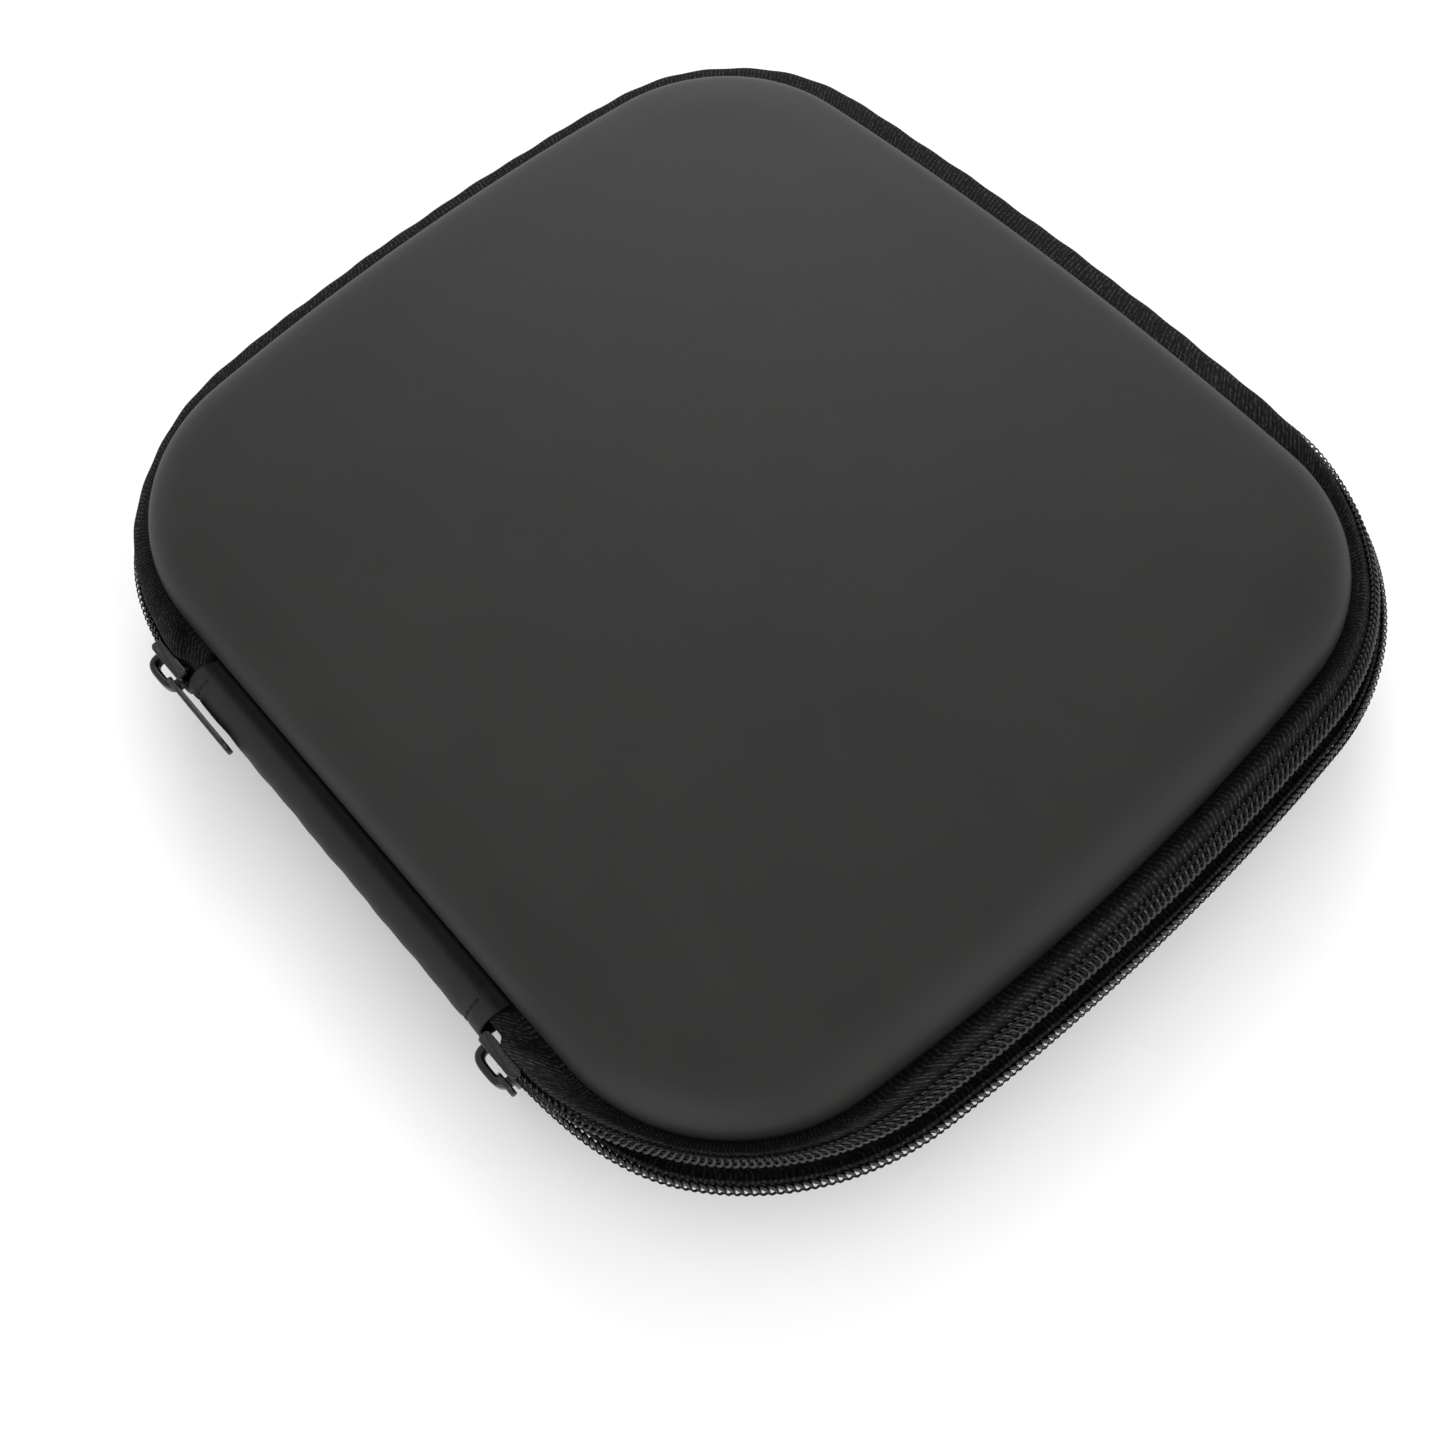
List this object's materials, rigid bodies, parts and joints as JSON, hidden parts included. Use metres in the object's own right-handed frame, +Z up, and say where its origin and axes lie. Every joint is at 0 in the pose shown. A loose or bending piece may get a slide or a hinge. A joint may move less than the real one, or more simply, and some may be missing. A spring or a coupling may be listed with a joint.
{
  "type": "headphone carrying case",
  "caption": "Black zipped clamshell case for folded headphones, with a leather-look moulded shell, a soft spine, two black metal zipper sliders and a net pocket inside.",
  "frame": {"origin": "centre of the flat underside", "axes": "+Z up through the lid, X along the spine, +Y towards the spine, so the case opens at -Y"},
  "size_m": [0.22, 0.2018, 0.04],
  "materials": {
    "leather": "soft matt",
    "foam": "matt",
    "lining": "matt",
    "tape": "matt",
    "nylon": "glossy",
    "metal": "glossy black enamel"
  },
  "bodies": {
    "base": {"base_skin": "leather", "base_foam_shell": "foam", "base_lining": "lining", "base_seam_binding": "tape", "base_zipper_tape": "tape", "base_zipper_coil": "nylon", "spine_cover": "leather", "spine_gusset": "lining"},
    "lid": {"lid_skin": "leather", "lid_foam_shell": "foam", "lid_lining": "lining", "lid_seam_binding": "tape", "lid_zipper_tape": "tape", "lid_zipper_coil": "nylon", "lid_pocket_net": "lining", "lid_pocket_elastic": "tape"},
    "slider_left": {"slider_left": "metal"},
    "puller_left": {"puller_left": "metal"},
    "slider_right": {"slider_right": "metal"},
    "puller_right": {"puller_right": "metal"}
  },
  "joints": [
    {"name": "lid_hinge", "type": "hinge", "parent": "base", "child": "lid", "pos_m": [0, 0.0999, 0.023], "axis": [-1, 0, 0], "range_deg": [0, 180], "deforming": ["spine_cover", "spine_gusset"]},
    {"name": "slider_left_travel", "type": "hinge", "parent": "base", "child": "slider_left", "pos_m": [-0.0493, 0.0367, 0.023], "axis": [0, 0, 1], "range_deg": [0, 69], "deforming": ["lid_zipper_tape", "lid_zipper_coil", "base_zipper_tape", "base_zipper_coil"]},
    {"name": "slider_right_travel", "type": "hinge", "parent": "base", "child": "slider_right", "pos_m": [0.0548, 0.0442, 0.023], "axis": [0, 0, -1], "range_deg": [0, 75], "deforming": ["lid_zipper_tape", "lid_zipper_coil", "base_zipper_tape", "base_zipper_coil"]},
    {"name": "puller_left_swing", "type": "hinge", "parent": "slider_left", "child": "puller_left", "pos_m": [-0.05295, 0.0997, 0.0235], "axis": [0, -1, 0], "range_deg": [0, 36]},
    {"name": "puller_right_swing", "type": "hinge", "parent": "slider_right", "child": "puller_right", "pos_m": [0.05115, 0.0997, 0.0235], "axis": [0, -1, 0], "range_deg": [0, 100]}
  ]
}
